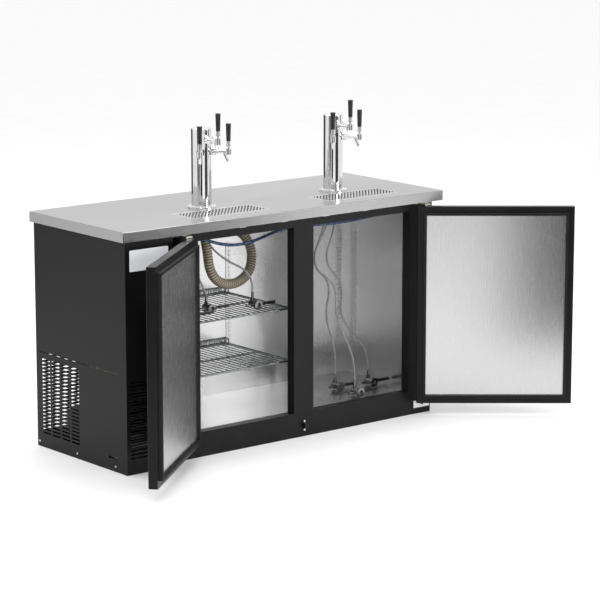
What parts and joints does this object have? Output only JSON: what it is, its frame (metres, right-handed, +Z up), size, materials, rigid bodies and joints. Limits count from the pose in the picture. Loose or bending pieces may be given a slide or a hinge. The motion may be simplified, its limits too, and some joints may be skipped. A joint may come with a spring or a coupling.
{
  "type": "kegerator",
  "caption": "Undercounter refrigerated cabinet with two hinged doors and two draught towers, which cools kegs and serves drinks through tilting taps.",
  "frame": {"origin": "centre of the cabinet's base, on the floor", "axes": "+X along the cabinet towards its right end as seen from the door side, +Y to the back, +Z up"},
  "size_m": [2.0434, 0.974, 1.253],
  "materials": {
    "badge": "plain white plate",
    "black_coat": "fine black powder coat",
    "black_plastic": "black plastic",
    "blue_hose": "blue hose",
    "brushed": "brushed stainless steel",
    "chrome": "polished",
    "clear_hose": "translucent hose",
    "coil": "finned coil",
    "duct": "beige corrugated duct",
    "foam": "rigid foam",
    "gasket": "soft ribbed seal",
    "liner": "brushed stainless liner",
    "wire": "plated wire",
    "zinc": "zinc plated"
  },
  "bodies": {
    "cabinet": {"air_duct": "duct", "back_panel": "black_coat", "badge_plate": "badge", "base_pan": "black_coat", "beer_line_1": "clear_hose", "beer_line_2": "clear_hose", "beer_line_3": "clear_hose", "beer_line_4": "clear_hose", "beer_line_5": "clear_hose", "beer_line_6": "clear_hose", "blue_hose": "blue_hose", "compressor": "black_coat", "condenser": "coil", "coupler_bodies": "chrome", "door_brackets": "zinc", "drip_grates": "brushed", "drip_trays": "brushed", "evaporator_cover": "black_plastic", "faucet_bodies": "chrome", "frame_kick": "black_coat", "frame_top_rail": "black_coat", "frame_uprights": "black_coat", "front_panel": "black_coat", "insulation": "foam", "liner_back": "liner", "liner_ceiling": "liner", "liner_floor": "liner", "liner_sides": "liner", "screws": "zinc", "shelf_clips": "brushed", "shelf_strips": "brushed", "side_left_cover": "black_coat", "side_left_upper": "black_coat", "side_right": "black_coat", "tower_caps": "chrome", "tower_columns": "chrome", "tower_flanges": "chrome", "wire_shelves": "wire", "worktop_core": "foam", "worktop_skin": "brushed"},
    "door_left": {"door_left_gasket": "gasket", "door_left_liner": "liner", "door_left_shell": "black_coat"},
    "door_right": {"door_right_gasket": "gasket", "door_right_liner": "liner", "door_right_shell": "black_coat"},
    "tap_lever_1": {"tap_lever_1": "black_plastic"},
    "coupler_lever_1": {"coupler_lever_1": "black_plastic"},
    "tap_lever_2": {"tap_lever_2": "black_plastic"},
    "coupler_lever_2": {"coupler_lever_2": "black_plastic"},
    "tap_lever_3": {"tap_lever_3": "black_plastic"},
    "coupler_lever_3": {"coupler_lever_3": "black_plastic"},
    "tap_lever_4": {"tap_lever_4": "black_plastic"},
    "coupler_lever_4": {"coupler_lever_4": "black_plastic"},
    "tap_lever_5": {"tap_lever_5": "black_plastic"},
    "coupler_lever_5": {"coupler_lever_5": "black_plastic"},
    "tap_lever_6": {"tap_lever_6": "black_plastic"},
    "coupler_lever_6": {"coupler_lever_6": "black_plastic"},
    "condenser_fan": {"condenser_fan": "black_plastic"},
    "lock_knob": {"lock_knob": "black_plastic"}
  },
  "joints": [
    {"name": "door_left_hinge", "type": "hinge", "parent": "cabinet", "child": "door_left", "pos_m": [-0.469, -0.288, 0.056], "axis": [0, 0, 1], "range_deg": [0, 140.6]},
    {"name": "door_right_hinge", "type": "hinge", "parent": "cabinet", "child": "door_right", "pos_m": [0.683, -0.288, 0.056], "axis": [0, 0, 1], "range_deg": [-140.6, 0]},
    {"name": "tap_lever_1_pull", "type": "hinge", "parent": "cabinet", "child": "tap_lever_1", "pos_m": [-0.27885, -0.11167, 1.115], "axis": [0.766, -0.6428, 0], "range_deg": [0, 35]},
    {"name": "tap_lever_2_pull", "type": "hinge", "parent": "cabinet", "child": "tap_lever_2", "pos_m": [-0.212, -0.136, 1.16], "axis": [1, 0, 0], "range_deg": [0, 35]},
    {"name": "tap_lever_3_pull", "type": "hinge", "parent": "cabinet", "child": "tap_lever_3", "pos_m": [-0.14515, -0.11167, 1.115], "axis": [0.766, 0.6428, 0], "range_deg": [0, 35]},
    {"name": "tap_lever_4_pull", "type": "hinge", "parent": "cabinet", "child": "tap_lever_4", "pos_m": [0.35915, -0.11167, 1.115], "axis": [0.766, -0.6428, 0], "range_deg": [0, 35]},
    {"name": "tap_lever_5_pull", "type": "hinge", "parent": "cabinet", "child": "tap_lever_5", "pos_m": [0.426, -0.136, 1.16], "axis": [1, 0, 0], "range_deg": [0, 35]},
    {"name": "tap_lever_6_pull", "type": "hinge", "parent": "cabinet", "child": "tap_lever_6", "pos_m": [0.49285, -0.11167, 1.115], "axis": [0.766, 0.6428, 0], "range_deg": [0, 35]},
    {"name": "coupler_lever_1_turn", "type": "hinge", "parent": "cabinet", "child": "coupler_lever_1", "pos_m": [-0.321, -0.148, 0.5148], "axis": [0, 0, 1], "range_deg": [0, 45]},
    {"name": "coupler_lever_2_turn", "type": "hinge", "parent": "cabinet", "child": "coupler_lever_2", "pos_m": [-0.197, -0.085, 0.5148], "axis": [0, 0, 1], "range_deg": [0, 45]},
    {"name": "coupler_lever_3_turn", "type": "hinge", "parent": "cabinet", "child": "coupler_lever_3", "pos_m": [-0.017, -0.137, 0.5148], "axis": [0, 0, 1], "range_deg": [0, 45]},
    {"name": "coupler_lever_4_turn", "type": "hinge", "parent": "cabinet", "child": "coupler_lever_4", "pos_m": [0.462, -0.171, 0.1103], "axis": [0, 0, 1], "range_deg": [0, 45]},
    {"name": "coupler_lever_5_turn", "type": "hinge", "parent": "cabinet", "child": "coupler_lever_5", "pos_m": [0.466, -0.046, 0.1103], "axis": [0, 0, 1], "range_deg": [0, 45]},
    {"name": "coupler_lever_6_turn", "type": "hinge", "parent": "cabinet", "child": "coupler_lever_6", "pos_m": [0.619, -0.069, 0.1103], "axis": [0, 0, 1], "range_deg": [0, 45]},
    {"name": "condenser_fan_spin", "type": "hinge", "parent": "cabinet", "child": "condenser_fan", "pos_m": [-0.645, -0.145, 0.19], "axis": [0, -1, 0], "continuous": true},
    {"name": "lock_knob_turn", "type": "hinge", "parent": "cabinet", "child": "lock_knob", "pos_m": [0.11, -0.255, 0.042], "axis": [0, -1, 0], "range_deg": [0, 90]}
  ]
}
